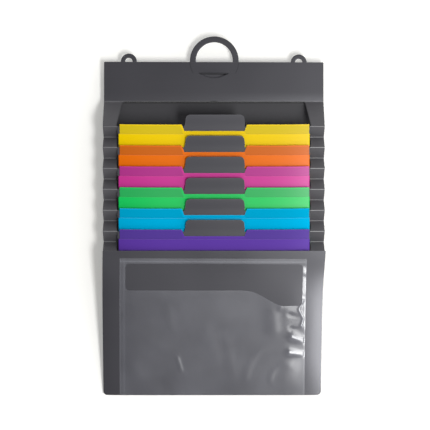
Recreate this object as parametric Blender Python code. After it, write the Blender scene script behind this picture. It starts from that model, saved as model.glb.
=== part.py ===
"""Cascading wall file organizer.

A stiff header hangs on the wall by one large ring and two small loops.  Below its fold line
a back panel and two pleated side gussets carry six coloured pockets, each on a grey divider
with a raised tab, and a grey front cover with a clear film pocket.  The pockets hang like
shingles: every one is tilted by the same small angle and lies in front of the one above.

Metres, +Z up.  The wall is the plane y = 0 and the front faces -Y.  The origin is the middle
of the header's back face.
"""
import math

import bmesh
import bpy

for old in list(bpy.data.objects):
    bpy.data.objects.remove(old, do_unlink=True)

MM = 0.001

# Sheet thicknesses and the clearance between two sheets that touch
GAP = 0.3 * MM
BOARD = 0.8 * MM
POCKET_SHEET = 0.45 * MM
GUSSET_SHEET = 0.5 * MM
FILM_SHEET = 0.35 * MM
HANGER_SHEET = 1.0 * MM

# Header and its hangers
HEADER_WIDTH = 362 * MM
HEADER_HEIGHT = 66 * MM
HEADER_CORNER = 1.5 * MM
RING_OUTER_RADIUS = 39.2 * MM
RING_BAND = 8.9 * MM
RING_RISE = 2.5 * MM
LOOP_OUTER_RADIUS = 13.3 * MM
LOOP_BAND = 6.6 * MM
LOOP_RISE = 0.8 * MM
LOOP_INSET = 41 * MM
SLOT_WIDTH = 50.5 * MM
SLOT_SAG = 8.6 * MM
SLOT_BELOW_TOP = 18.6 * MM
THUMB_NOTCH_WIDTH = 15 * MM
THUMB_NOTCH_RISE = 1.3 * MM

# Fold line, back panel and gussets
FOLD_AHEAD = 0.5 * MM
BACK_HEIGHT = 268 * MM
HEAD_DROP = 42.4 * MM
HEAD_OVERHANG = 6.5 * MM
HEAD_FILLET = 5 * MM
GUSSET_WIDTH = 24.0 * MM
PITCH = 34.2 * MM
PLEAT_DEPTH = 18 * MM
FLANGE_LENGTH = 12 * MM

# Pockets, one for each colour from the top down
POCKET_COLOURS = {
    "yellow": (0.87, 0.60, 0.004),
    "orange": (0.80, 0.17, 0.012),
    "magenta": (0.56, 0.042, 0.27),
    "green": (0.055, 0.52, 0.13),
    "blue": (0.004, 0.37, 0.65),
    "purple": (0.098, 0.047, 0.33),
}
POCKET_SIDE_GAP = 2.7 * MM
POCKET_HEIGHT = 226 * MM
POCKET_ROOM = 5.2 * MM
POCKET_RISE = 3.6 * MM
MOUTH_DROP = 15.6 * MM
NOTCH_DEPTH = 11.1 * MM
NOTCH_WIDTH = 98 * MM
NOTCH_FLARE = 4.2 * MM
TAB_RISE = 16.4 * MM
TAB_TAPER = 2.2 * MM
TAB_CORNER = 4.5 * MM
EAR_HEIGHT = 12 * MM

# Front cover and its clear pocket
COVER_LENGTH = 244 * MM
COVER_RISE = 3.4 * MM
COVER_SIDE_INSET = 0.6 * MM
COVER_TAPER = 1.2 * MM
COVER_CORNER = 6.6 * MM
FILM_SIDE_MARGIN = 28.2 * MM
FILM_TOP_MARGIN = 12 * MM
FILM_FOOT_MARGIN = 0.6 * MM
FILM_TOP_BORDER = 9.0 * MM
FILM_LEFT_BORDER = 9.6 * MM
FILM_RIGHT_BORDER = 5.8 * MM
WINDOW_HEIGHT = 45 * MM
WINDOW_STEP = 26 * MM
WINDOW_STEP_START = 98 * MM
WINDOW_STEP_END = 36 * MM
WINDOW_CORNER = 3.4 * MM

# Finishes: linear base colour and roughness
GREY = (0.072, 0.070, 0.077)
CLEAR = (0.62, 0.63, 0.65)
MATTE = 0.5
SATIN = 0.36
GLOSSY = 0.15

# Segments of the round stretches
RING_STEPS = 72
LOOP_STEPS = 40
CORNER_STEPS = 5
CURVE_STEPS = 10

# Sheets in a pocket, measured forward from the face that the divider hangs in
POCKET_BACK_FROM = POCKET_SHEET + GAP
POCKET_FRONT_FROM = POCKET_BACK_FROM + POCKET_SHEET + POCKET_ROOM
PLANE_STEP = POCKET_FRONT_FROM + POCKET_SHEET + GAP
TILT = math.asin(PLANE_STEP / PITCH)

# Places that more than one piece uses
HEADER_TOP = HEADER_HEIGHT / 2
CREASE = -HEADER_HEIGHT / 2
HALF_WIDTH = HEADER_WIDTH / 2
STRIP_INNER = HALF_WIDTH - GUSSET_WIDTH
HALF_POCKET = STRIP_INNER - POCKET_SIDE_GAP
HANGER_FROM = BOARD + GAP
HEADER_FRONT_FROM = HANGER_FROM + HANGER_SHEET + GAP
FOLD_DEPTH = HEADER_FRONT_FROM + BOARD + FOLD_AHEAD
POCKET_FOOT = POCKET_RISE - POCKET_HEIGHT
COVER_FOOT = COVER_RISE - COVER_LENGTH
PEAK_DEPTH = -min(COVER_FOOT, POCKET_FOOT) * math.sin(TILT) + BOARD + GAP
PEAK_AHEAD = PEAK_DEPTH - FOLD_DEPTH


def arc(x, z, radius, start, end, steps):
    """Points on a circle about (x, z), from one angle to another in degrees."""
    angles = [math.radians(start + (end - start) * i / steps) for i in range(steps + 1)]
    return [(x + radius * math.cos(a), z + radius * math.sin(a)) for a in angles]


def rounded(corners):
    """Outline through (x, z, radius) corners, with each corner that has a radius cut by an arc."""
    outline = []
    count = len(corners)
    for i, (x, z, radius) in enumerate(corners):
        if radius == 0:
            outline.append((x, z))
            continue
        before = corners[i - 1]
        after = corners[(i + 1) % count]
        a_in = math.atan2(before[1] - z, before[0] - x)
        a_out = math.atan2(after[1] - z, after[0] - x)
        turn = (a_out - a_in + math.pi) % (2 * math.pi) - math.pi
        reach = radius / math.tan(abs(turn) / 2)
        middle = a_in + turn / 2
        away = radius / math.sin(abs(turn) / 2)
        cx = x + away * math.cos(middle)
        cz = z + away * math.sin(middle)
        start = math.atan2(z + reach * math.sin(a_in) - cz, x + reach * math.cos(a_in) - cx)
        end = math.atan2(z + reach * math.sin(a_out) - cz, x + reach * math.cos(a_out) - cx)
        sweep = (end - start + math.pi) % (2 * math.pi) - math.pi
        outline += arc(cx, cz, radius, math.degrees(start), math.degrees(start + sweep), CORNER_STEPS)
    return outline


def bow(z, width, rise):
    """Arc from left to right over a level chord, up by a positive rise or down by a negative one."""
    radius = (width ** 2 / 4 + rise ** 2) / (2 * abs(rise))
    half = math.degrees(math.asin(width / 2 / radius))
    if rise > 0:
        return arc(0, z + rise - radius, radius, 90 + half, 90 - half, CURVE_STEPS)
    return arc(0, z + rise + radius, radius, 270 - half, 270 + half, CURVE_STEPS)


def mirrored(outline, side):
    """The same outline on the right (1) or on the left (-1)."""
    return [(side * x, z) for x, z in outline]


def finish(name, colour, roughness, alpha=1.0):
    """A Principled material for one piece."""
    material = bpy.data.materials.new(name)
    material.use_nodes = True
    shader = material.node_tree.nodes["Principled BSDF"]
    shader.inputs["Base Color"].default_value = (*colour, 1.0)
    shader.inputs["Roughness"].default_value = roughness
    shader.inputs["Metallic"].default_value = 0.0
    shader.inputs["Alpha"].default_value = alpha
    return material


def place(name, bm, parent, material=None):
    """Close a bmesh into a named object under its parent."""
    bmesh.ops.recalc_face_normals(bm, faces=bm.faces)
    mesh = bpy.data.meshes.new(name)
    bm.to_mesh(mesh)
    bm.free()
    piece = bpy.data.objects.new(name, mesh)
    piece.parent = parent
    if material:
        mesh.materials.append(material)
    bpy.context.collection.objects.link(piece)
    return piece


def empty(name, location, parent=None, tilt=0.0):
    """A reference frame that pieces are parented to, turned about X by tilt."""
    frame = bpy.data.objects.new(name, None)
    frame.location = location
    frame.rotation_euler = (tilt, 0, 0)
    frame.parent = parent
    bpy.context.collection.objects.link(frame)
    return frame


def sheet(name, outline, start, thickness, parent, material=None):
    """A flat sheet of an (x, z) outline, from start to start + thickness in front of its frame."""
    bm = bmesh.new()
    face = bm.faces.new([bm.verts.new((x, -start, z)) for x, z in outline])
    made = bmesh.ops.extrude_face_region(bm, geom=[face])["geom"]
    moved = [part for part in made if isinstance(part, bmesh.types.BMVert)]
    bmesh.ops.translate(bm, verts=moved, vec=(0, -thickness, 0))
    return place(name, bm, parent, material)


def cut(piece, outline, start, depth):
    """Take a prism of an (x, z) outline out of a piece."""
    cutter = sheet(piece.name + "_cutter", outline, start, depth, piece.parent)
    cutter.hide_render = True
    cutter.display_type = "WIRE"
    difference = piece.modifiers.new("cut", "BOOLEAN")
    difference.operation = "DIFFERENCE"
    difference.object = cutter


def turned_ring(name, x, z, outer, band, steps, parent, material):
    """A flat ring in the hanger layer: its square section spun about Y."""
    bm = bmesh.new()
    back = -HANGER_FROM
    front = back - HANGER_SHEET
    section = [(outer - band, back), (outer, back), (outer, front), (outer - band, front)]
    points = [bm.verts.new((radius, y, 0)) for radius, y in section]
    edges = [bm.edges.new((points[i - 1], points[i])) for i in range(len(points))]
    bmesh.ops.spin(bm, geom=points + edges, cent=(0, 0, 0), axis=(0, 1, 0),
                   angle=2 * math.pi, steps=steps, use_merge=True)
    ring = place(name, bm, parent, material)
    ring.location = (x, 0, z)
    ring.data.shade_smooth()
    ring.data.set_sharp_from_angle(angle=math.radians(40))
    return ring


def folded_strip(name, path, side, parent, material):
    """A strip of the gusset's width, folded along a path of (y, z) points."""
    bm = bmesh.new()
    headings = [math.atan2(b[1] - a[1], b[0] - a[0]) for a, b in zip(path, path[1:])]
    rows = []
    for i, (y, z) in enumerate(path):
        arriving = headings[max(i - 1, 0)]
        leaving = headings[min(i, len(headings) - 1)]
        bend = (leaving - arriving + math.pi) % (2 * math.pi) - math.pi
        normal = arriving + bend / 2 + math.pi / 2
        reach = GUSSET_SHEET / 2 / math.cos(bend / 2)
        dy = reach * math.cos(normal)
        dz = reach * math.sin(normal)
        section = [(STRIP_INNER, 1), (HALF_WIDTH, 1), (HALF_WIDTH, -1), (STRIP_INNER, -1)]
        rows.append([bm.verts.new((side * x, y + face * dy, z + face * dz)) for x, face in section])
    for upper, lower in zip(rows, rows[1:]):
        for k in range(len(upper)):
            bm.faces.new((upper[k - 1], upper[k], lower[k], lower[k - 1]))
    bm.faces.new(rows[0])
    bm.faces.new(rows[-1])
    return place(name, bm, parent, material)


def make_header(header):
    """Two boards with the ring and the loops held between them."""
    upper = [(HALF_WIDTH, HEADER_TOP, HEADER_CORNER), (-HALF_WIDTH, HEADER_TOP, HEADER_CORNER)]
    lower = [(-HALF_WIDTH, CREASE, 0), (HALF_WIDTH, CREASE, 0)]
    sheet("header_back", rounded(lower + upper), 0, BOARD, header,
          finish("header_back", GREY, MATTE))

    notch = bow(CREASE, THUMB_NOTCH_WIDTH, THUMB_NOTCH_RISE)
    notched = lower[:1] + [(x, z, 0) for x, z in notch] + lower[1:]
    front = sheet("header_front", rounded(notched + upper), HEADER_FRONT_FROM, BOARD, header,
                  finish("header_front", GREY, MATTE))
    slot = bow(HEADER_TOP - SLOT_BELOW_TOP, SLOT_WIDTH, -SLOT_SAG)
    cut(front, slot, HEADER_FRONT_FROM - BOARD, 3 * BOARD)

    ring = finish("hanger_ring", GREY, MATTE)
    turned_ring("hanger_ring", 0, HEADER_TOP + RING_RISE, RING_OUTER_RADIUS, RING_BAND,
                RING_STEPS, header, ring)
    for side, word in ((-1, "left"), (1, "right")):
        name = word + "_hanger_loop"
        turned_ring(name, side * (HALF_WIDTH - LOOP_INSET), HEADER_TOP + LOOP_RISE, LOOP_OUTER_RADIUS,
                    LOOP_BAND, LOOP_STEPS, header, finish(name, GREY, MATTE))


def peak(order):
    """Place of a gusset peak under the fold line; the first one has order 0."""
    return 0, -PEAK_AHEAD, -HEAD_DROP - order * PITCH


def pleat_path():
    """Gusset zigzag from the first peak to the flange behind the cover, seen from the fold."""
    path = []
    for order in range(len(POCKET_COLOURS)):
        path.append(peak(order)[1:])
        path.append((PLEAT_DEPTH - PEAK_AHEAD, peak(order + 0.5)[2]))
    _, cover_y, cover_z = peak(len(POCKET_COLOURS))
    behind = GAP + GUSSET_SHEET / 2
    for down in (behind, behind + FLANGE_LENGTH):
        y = cover_y + behind * math.cos(TILT) + down * math.sin(TILT)
        z = cover_z + behind * math.sin(TILT) - down * math.cos(TILT)
        path.append((y, z))
    return path


def make_gussets(fold):
    """On each side a head panel from the fold line to the first peak, and the pleats below it."""
    length = math.hypot(PEAK_AHEAD, HEAD_DROP)
    slope = empty("gusset_head_slope", (0, 0, 0), fold, -math.atan2(PEAK_AHEAD, HEAD_DROP))
    top = -GUSSET_SHEET
    foot = -(length - GUSSET_SHEET / 2 - GAP)
    corner = STRIP_INNER - HEAD_OVERHANG
    head = [(HALF_WIDTH, top)]
    head += arc(corner - HEAD_FILLET, top - HEAD_FILLET, HEAD_FILLET, 90, 0, CORNER_STEPS)
    head += [(STRIP_INNER, foot), (HALF_WIDTH, foot)]
    for side, word in ((-1, "left"), (1, "right")):
        name = word + "_gusset_head"
        sheet(name, mirrored(head, side), -GUSSET_SHEET / 2, GUSSET_SHEET, slope,
              finish(name, GREY, MATTE))
        name = word + "_gusset_pleats"
        folded_strip(name, pleat_path(), side, fold, finish(name, GREY, MATTE))


def make_back(fold):
    """The panel that hangs flat against the wall behind the pockets."""
    top = -GAP
    panel = [(-HALF_WIDTH, top), (HALF_WIDTH, top), (HALF_WIDTH, -BACK_HEIGHT),
             (-HALF_WIDTH, -BACK_HEIGHT)]
    sheet("back_panel", panel, -FOLD_DEPTH, BOARD, fold, finish("back_panel", GREY, MATTE))


def make_divider(colour, plane):
    """Grey divider: ears that meet the gusset at its peak, and a raised tab in the middle."""
    reach = STRIP_INNER - GAP
    tab_foot = NOTCH_WIDTH / 2
    tab_head = tab_foot - TAB_TAPER
    right = rounded([
        (0, POCKET_RISE + TAB_RISE, 0),
        (tab_head, POCKET_RISE + TAB_RISE, TAB_CORNER),
        (tab_foot, 0, 0),
        (reach, 0, 0),
        (reach, -EAR_HEIGHT, 0),
        (HALF_POCKET, -EAR_HEIGHT, 0),
        (HALF_POCKET, POCKET_FOOT, 0),
        (0, POCKET_FOOT, 0),
    ])
    outline = right + mirrored(right[-2:0:-1], -1)
    name = colour + "_divider_tab"
    sheet(name, outline, 0, POCKET_SHEET, plane, finish(name, GREY, MATTE))


def make_pocket(colour, plane):
    """Coloured pocket: a back sheet with a notch, and a front sheet folded round its edges."""
    shade = POCKET_COLOURS[colour]
    notch_top = NOTCH_WIDTH / 2 + NOTCH_FLARE
    right = [
        (NOTCH_WIDTH / 2, POCKET_RISE - NOTCH_DEPTH),
        (notch_top, POCKET_RISE),
        (HALF_POCKET, POCKET_RISE),
        (HALF_POCKET, POCKET_FOOT),
    ]
    name = colour + "_pocket_back"
    sheet(name, right + mirrored(right[::-1], -1), POCKET_BACK_FROM, POCKET_SHEET, plane,
          finish(name, shade, SATIN))

    name = colour + "_pocket_front"
    inside = HALF_POCKET + GAP
    outside = inside + POCKET_SHEET
    floor = POCKET_FOOT - GAP
    foot = floor - POCKET_SHEET
    mouth = POCKET_RISE - MOUTH_DROP
    block = [(-outside, foot), (outside, foot), (outside, mouth), (-outside, mouth)]
    depth = POCKET_FRONT_FROM - POCKET_BACK_FROM
    tray = sheet(name, block, POCKET_BACK_FROM, depth + POCKET_SHEET, plane,
                 finish(name, shade, SATIN))
    above = mouth + POCKET_ROOM
    room = [(-inside, floor), (inside, floor), (inside, above), (-inside, above)]
    cut(tray, room, POCKET_BACK_FROM - POCKET_SHEET, depth + POCKET_SHEET)


def make_cover(plane):
    """Front cover with round lower corners, and the clear film pocket on its face."""
    top_half = HALF_WIDTH - COVER_SIDE_INSET
    foot_half = top_half - COVER_TAPER
    outline = rounded([
        (-top_half, COVER_RISE, 0),
        (-foot_half, COVER_FOOT, COVER_CORNER),
        (foot_half, COVER_FOOT, COVER_CORNER),
        (top_half, COVER_RISE, 0),
    ])
    sheet("front_cover", outline, 0, BOARD, plane, finish("front_cover", GREY, MATTE))

    half = top_half - FILM_SIDE_MARGIN
    top = COVER_RISE - FILM_TOP_MARGIN
    foot = COVER_FOOT + FILM_FOOT_MARGIN
    film_from = BOARD + GAP
    film = [(-half, top), (-half, foot), (half, foot), (half, top)]
    pocket = sheet("clear_pocket", film, film_from, FILM_SHEET, plane,
                   finish("clear_pocket", CLEAR, GLOSSY, alpha=0.3))
    cut(pocket, window_outline(half, top), film_from - FILM_SHEET, 3 * FILM_SHEET)


def window_outline(half, top):
    """Hand opening of the film: a slot whose lower edge steps down in an S towards the right."""
    left = -half + FILM_LEFT_BORDER
    right = half - FILM_RIGHT_BORDER
    upper = top - FILM_TOP_BORDER
    shallow = upper - WINDOW_HEIGHT
    deep = shallow - WINDOW_STEP
    start = right - WINDOW_STEP_START
    end = right - WINDOW_STEP_END
    corners = rounded([
        (end, deep, 0),
        (right, deep, WINDOW_CORNER),
        (right, upper, WINDOW_CORNER),
        (left, upper, WINDOW_CORNER),
        (left, shallow, WINDOW_CORNER),
        (start, shallow, 0),
    ])
    steps = [i / CURVE_STEPS for i in range(1, CURVE_STEPS)]
    ease = [(start + (end - start) * t, shallow + (deep - shallow) * t * t * (3 - 2 * t)) for t in steps]
    return corners + ease


header_frame = empty("header", (0, 0, 0))
fold_frame = empty("header_fold", (0, -FOLD_DEPTH, CREASE), header_frame)
make_header(header_frame)
make_back(fold_frame)
make_gussets(fold_frame)
for order, pocket_colour in enumerate(POCKET_COLOURS):
    pocket_plane = empty(pocket_colour + "_plane", peak(order), fold_frame, TILT)
    make_divider(pocket_colour, pocket_plane)
    make_pocket(pocket_colour, pocket_plane)
make_cover(empty("cover_plane", peak(len(POCKET_COLOURS)), fold_frame, TILT))
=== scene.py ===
# %% [markdown]
# # A cascading wall file organizer: from plain solids to real sheets
#
# This object is cut and folded from thin plastic sheet: a stiff grey header that hangs on a ring
# and two loops, two pleated gussets, six coloured pockets that hang like shingles, and a grey
# cover with a clear film pocket.  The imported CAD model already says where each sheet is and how
# it moves.  This lesson gives the sheets their looks: a slight bow, rounded folds, pale cut
# edges, a fine grain, and a film that puckers.  Every shape is a formula on a numpy grid, so a
# learner can change one number and see the sheet follow.

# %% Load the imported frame
import math

import bpy
import numpy as np
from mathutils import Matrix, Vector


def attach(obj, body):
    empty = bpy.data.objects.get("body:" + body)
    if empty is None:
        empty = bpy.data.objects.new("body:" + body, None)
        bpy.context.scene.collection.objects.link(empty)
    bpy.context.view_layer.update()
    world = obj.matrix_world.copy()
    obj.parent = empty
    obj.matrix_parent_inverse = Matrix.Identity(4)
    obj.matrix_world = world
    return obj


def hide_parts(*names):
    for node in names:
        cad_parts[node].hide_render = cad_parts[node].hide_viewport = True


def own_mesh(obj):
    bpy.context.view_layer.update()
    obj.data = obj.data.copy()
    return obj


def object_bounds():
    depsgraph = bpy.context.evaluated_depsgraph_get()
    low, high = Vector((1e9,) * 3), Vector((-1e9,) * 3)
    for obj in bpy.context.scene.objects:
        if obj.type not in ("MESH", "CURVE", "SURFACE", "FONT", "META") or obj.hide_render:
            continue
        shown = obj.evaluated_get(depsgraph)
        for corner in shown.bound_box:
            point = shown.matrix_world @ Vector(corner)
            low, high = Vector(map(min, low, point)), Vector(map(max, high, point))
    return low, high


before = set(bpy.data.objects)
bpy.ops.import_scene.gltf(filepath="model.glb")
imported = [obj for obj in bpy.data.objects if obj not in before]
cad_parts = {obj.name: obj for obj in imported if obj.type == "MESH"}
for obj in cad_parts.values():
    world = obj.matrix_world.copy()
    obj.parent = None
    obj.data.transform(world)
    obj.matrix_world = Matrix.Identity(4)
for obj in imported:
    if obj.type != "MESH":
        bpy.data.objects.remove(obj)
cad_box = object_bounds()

print("CAD box:", [list(corner) for corner in cad_box])

# %% [markdown]
# ## Camera
#
# A catalogue picture of a flat thing is taken square on and from far away, so that its edges stay
# parallel.  A long lens does that.  The camera stands 3.8 m in front of the wall, a little below
# the middle of the header, and looks straight at the wall.

# %% Place the camera
CAMERA_PLACE = (0.0021, -3.8032, -0.2198)
CAMERA_LENS = 192.9

camera_data = bpy.data.cameras.new("portrait_camera")
camera_data.lens = CAMERA_LENS
camera_data.sensor_width = 36.0
camera_data.clip_end = 50.0
camera = bpy.data.objects.new("portrait_camera", camera_data)
camera.location = CAMERA_PLACE
camera.rotation_euler = (math.radians(90), 0, 0)
bpy.context.scene.collection.objects.link(camera)
bpy.context.scene.camera = camera
bpy.context.scene.view_settings.view_transform = "Standard"
print("camera at", CAMERA_PLACE)

# %% [markdown]
# ## Soft light
#
# One tall soft box stands low on the right, so the shadow falls up and to the left.  Its power
# follows from its share of plain light: an area lamp of power P at distance d gives P / (pi d^2),
# and a surface shows its written colour at a total of pi.  A second, taller panel further to the
# right is only mirrored: it lights nothing, but sheets that turn to the right or down show its sheen.

# %% Lamps
KEY_SHARE = 0.55
KEY_PLACE = (0.58, -2.2, -0.62)
KEY_SIZE = (0.40, 0.85)
SHEEN_SHARE = 2.0
SHEEN_PLACE = (0.72, -1.46, -0.78)
SHEEN_SIZE = (0.46, 1.30)
LIT_MIDDLE = (0.0, -0.03, -0.24)


def soft_lamp(name, place, size, share):
    """A rectangle lamp that faces the middle of the object and gives it a share of plain light."""
    data = bpy.data.lights.new(name, "AREA")
    data.shape = "RECTANGLE"
    data.size, data.size_y = size
    away = np.array(place) - LIT_MIDDLE
    distance = np.linalg.norm(away)
    data.energy = share * math.pi ** 2 * distance ** 2
    lamp = bpy.data.objects.new(name, data)
    lamp.location = place
    lamp.rotation_euler = (math.radians(90) - math.asin(away[2] / distance), 0,
                           math.atan2(away[0], -away[1]))
    bpy.context.scene.collection.objects.link(lamp)
    print(name, "at", place, "with", round(data.energy, 1), "W")
    return lamp


soft_lamp("soft_box", KEY_PLACE, KEY_SIZE, KEY_SHARE)
sheen = soft_lamp("sheen_panel", SHEEN_PLACE, SHEEN_SIZE, SHEEN_SHARE)
sheen.visible_diffuse = False

# %% [markdown]
# The world fills in the rest, as a pale room does: dim behind the camera, brighter to the sides,
# most on the right.  Worlds and finishes are node trees, and one small helper adds each node.

# %% Room light
FILL_FRONT = 0.28
FILL_SIDE = 0.82
FILL_LEAN = 0.80


def add(tree, kind, inputs=(), **settings):
    """A node: settings are its own options, inputs pairs a socket with a value or a source socket."""
    made = tree.nodes.new(kind)
    for option, value in settings.items():
        setattr(made, option, value)
    for socket, value in dict(inputs).items():
        if isinstance(value, bpy.types.NodeSocket):
            tree.links.new(value, made.inputs[socket])
        else:
            made.inputs[socket].default_value = value
    return made


def combined(tree, first, second, operation):
    """Two values put together by a Math node."""
    return add(tree, "ShaderNodeMath", {0: first, 1: second}, operation=operation).outputs[0]


def ranged(tree, value, reach, result, **settings):
    """A value carried from one range, given as a pair, to another."""
    sockets = {"Value": value, "From Min": reach[0], "From Max": reach[1],
               "To Min": result[0], "To Max": result[1]}
    return add(tree, "ShaderNodeMapRange", sockets, **settings).outputs[0]


world = bpy.data.worlds.new("pale_room")
world.use_nodes = True
sky = world.node_tree
sky.nodes.clear()
heading = add(sky, "ShaderNodeSeparateXYZ", {0: add(sky, "ShaderNodeTexCoord").outputs["Generated"]})
to_side = ranged(sky, heading.outputs["Y"], (-0.95, -0.45), (FILL_FRONT, FILL_SIDE),
                 interpolation_type="SMOOTHSTEP")
to_right = ranged(sky, heading.outputs["X"], (-1.0, 1.0), (1 - FILL_LEAN, 1 + FILL_LEAN))
strength = combined(sky, to_side, to_right, "MULTIPLY")
fill = add(sky, "ShaderNodeBackground", {"Color": (1, 1, 1, 1), "Strength": strength})
add(sky, "ShaderNodeOutputWorld", {"Surface": fill.outputs[0]})
bpy.context.scene.world = world
print("room light from", FILL_FRONT, "in front to", FILL_SIDE, "at the sides")

# %% [markdown]
# ## The wall behind it
#
# The organizer hangs on hooks, so its header stands a finger's width off the wall and only the
# foot of the cover touches it.  The wall is a plain white sheet that leans by that much: the
# shadow is then wide beside the header and closes up at the foot.  It shows from the front alone,
# so that the back of the organizer can be looked at too.

# %% Put up the wall
WALL_AT_HEADER = 0.018
WALL_AT_FOOT = 0.0006
WALL_HALF = 3.0
WALL_GLOW = 0.21
WALL_WHITE = (0.98, 0.975, 0.945, 1)

foot_height = cad_box[0][2]
lean = (WALL_AT_HEADER - WALL_AT_FOOT) / -foot_height
across, height = np.meshgrid([-WALL_HALF, WALL_HALF], [-WALL_HALF, WALL_HALF])
depth = WALL_AT_HEADER + lean * height
wall_points = np.stack([across, depth, height], axis=-1).reshape(-1, 3)
wall_mesh = bpy.data.meshes.new("plain_wall")
wall_mesh.from_pydata(wall_points.tolist(), [], [(0, 1, 3, 2)])
wall = bpy.data.objects.new("plain_wall", wall_mesh)
bpy.context.scene.collection.objects.link(wall)
wall.visible_diffuse = False
wall.visible_glossy = False
wall.visible_shadow = False


def seen_ray(tree):
    """A value of 1 for what the camera sees directly, mirrored or through clear stuff, and else 0."""
    path = add(tree, "ShaderNodeLightPath").outputs
    mirrored = combined(tree, path["Is Camera Ray"], path["Is Glossy Ray"], "MAXIMUM")
    return combined(tree, mirrored, path["Is Transmission Ray"], "MAXIMUM")


paint = bpy.data.materials.new("white_wall_paint")
paint.use_nodes = True
coat = paint.node_tree
coat.nodes.clear()
matt = add(coat, "ShaderNodeBsdfDiffuse", {"Color": WALL_WHITE})
glow = add(coat, "ShaderNodeEmission", {"Color": (1, 1, 0.97, 1), "Strength": WALL_GLOW})
dark = add(coat, "ShaderNodeEmission", {"Color": (0, 0, 0, 1), "Strength": 0.0})
seen = add(coat, "ShaderNodeMixShader", {0: seen_ray(coat), 1: dark.outputs[0], 2: glow.outputs[0]})
lit = add(coat, "ShaderNodeAddShader", {0: matt.outputs[0], 1: seen.outputs[0]})
clear_back = add(coat, "ShaderNodeBsdfTransparent")
facing = add(coat, "ShaderNodeNewGeometry")
one_sided = add(coat, "ShaderNodeMixShader", {0: facing.outputs["Backfacing"], 1: lit.outputs[0],
                                              2: clear_back.outputs[0]})
add(coat, "ShaderNodeOutputMaterial", {"Surface": one_sided.outputs[0]})
wall_mesh.materials.append(paint)
print("wall leans", round(math.degrees(math.atan(lean)), 2), "degrees")

# %% [markdown]
# ## What the sheets are made of
#
# All sheets but the film are extruded polypropylene.  It has a fine sand-like grain from the
# roller, faint lines along the way it was drawn, and a soft gloss that differs a little from spot
# to spot.  Where it is cut or folded the plastic turns pale.  These effects come back in every
# colour, so each is a node group that is made once: it puts out a height, a mask or a value, and
# each finish uses it with its own colours.

# %% Shared effects as node groups
VALUE = "NodeSocketFloat"
VECTOR = "NodeSocketVector"
NOISE_REACH = (0.3, 0.7)


def effect(name, inputs, outputs):
    """An empty node group with named sockets, and its two end nodes."""
    tree = bpy.data.node_groups.new(name, "ShaderNodeTree")
    for label, kind in inputs:
        tree.interface.new_socket(label, in_out="INPUT", socket_type=kind)
    for label, kind in outputs:
        tree.interface.new_socket(label, in_out="OUTPUT", socket_type=kind)
    return tree, tree.nodes.new("NodeGroupInput"), tree.nodes.new("NodeGroupOutput")


def blend_values(tree, first, second, share):
    """A value that goes from the first to the second as the share goes from 0 to 1."""
    mixed = add(tree, "ShaderNodeMix", {"Factor": share, "A": first, "B": second}, data_type="FLOAT")
    return mixed.outputs["Result"]


def noise(tree, place, scale, detail, roughness=0.5):
    """A noise value at a place."""
    sockets = {"Vector": place, "Scale": scale, "Detail": detail, "Roughness": roughness}
    return add(tree, "ShaderNodeTexNoise", sockets).outputs[0]


def make_grain():
    """Sheet grain: sand of about 1 mm, draw lines along X, and a slow drift over some 100 mm."""
    tree, start, end = effect("sheet_grain", [("Vector", VECTOR)],
                              [("Height", VALUE), ("Drift", VALUE), ("Gloss", VALUE)])
    place = start.outputs["Vector"]
    sand = noise(tree, place, 900.0, 3.0, 0.6)
    drawn = add(tree, "ShaderNodeMapping", {"Vector": place, "Scale": (3.0, 90.0, 210.0)})
    lines = noise(tree, drawn.outputs[0], 1.0, 2.0)
    slow = noise(tree, place, 9.0, 1.0)
    height = blend_values(tree, sand, lines, 0.3)
    drift = blend_values(tree, slow, lines, 0.45)
    gloss = blend_values(tree, slow, sand, 0.4)
    for label, value in (("Height", height), ("Drift", drift), ("Gloss", gloss)):
        tree.links.new(value, end.inputs[label])
    return tree


def make_pale_line():
    """Pale line: the mask of cut edges and folds, made uneven along the line by a noise."""
    tree, start, end = effect("pale_line", [("Vector", VECTOR), ("Mask", VALUE)], [("Amount", VALUE)])
    broken = noise(tree, start.outputs["Vector"], 140.0, 2.0)
    uneven = ranged(tree, broken, NOISE_REACH, (0.85, 1.0))
    amount = combined(tree, start.outputs["Mask"], uneven, "MULTIPLY")
    tree.links.new(amount, end.inputs["Amount"])
    return tree


sheet_grain = make_grain()
pale_line = make_pale_line()
print("node groups:", sheet_grain.name, pale_line.name)

# %% [markdown]
# ## Sheet finishes
#
# A finish mixes its colour a little lighter and darker along the drift, moves it to a darker copy
# where shade is painted in, and puts the pale lines on last.  The painted shade is a duller colour
# on the back sheets of the pockets, and a near-black line on grey sheets along folds, slits and
# edges.  Two numbers that each sheet carries at its points say where that happens: one for cut
# edges and folds, which on the back panel and the film also carries painted light, and one for the
# painted shade.  A line that is set in the colour stays there under any light, unlike a shadow.  A
# photograph alone can't always tell the two apart, and where a line is a guess the text says so.

# %% Finishes for the grey and the coloured sheets
GREY = (0.044, 0.043, 0.050)
DIVIDER_GREY = (0.045, 0.0445, 0.054)
INNER_GREY = (0.043, 0.042, 0.047)
# painted light: the gussets are the same grey plastic as the other grey sheets, made lighter to lift the
# shade in the pleats
GUSSET_PAINTED_LIGHT_GREY = (0.069, 0.067, 0.075)
POCKET_COLOURS = {
    "yellow": (0.86, 0.60, 0.0),
    "orange": (0.79, 0.155, 0.001),
    "magenta": (0.56, 0.034, 0.275),
    "green": (0.004, 0.545, 0.10),
    "blue": (0.0, 0.385, 0.66),
    "purple": (0.098, 0.037, 0.32),
}
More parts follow.
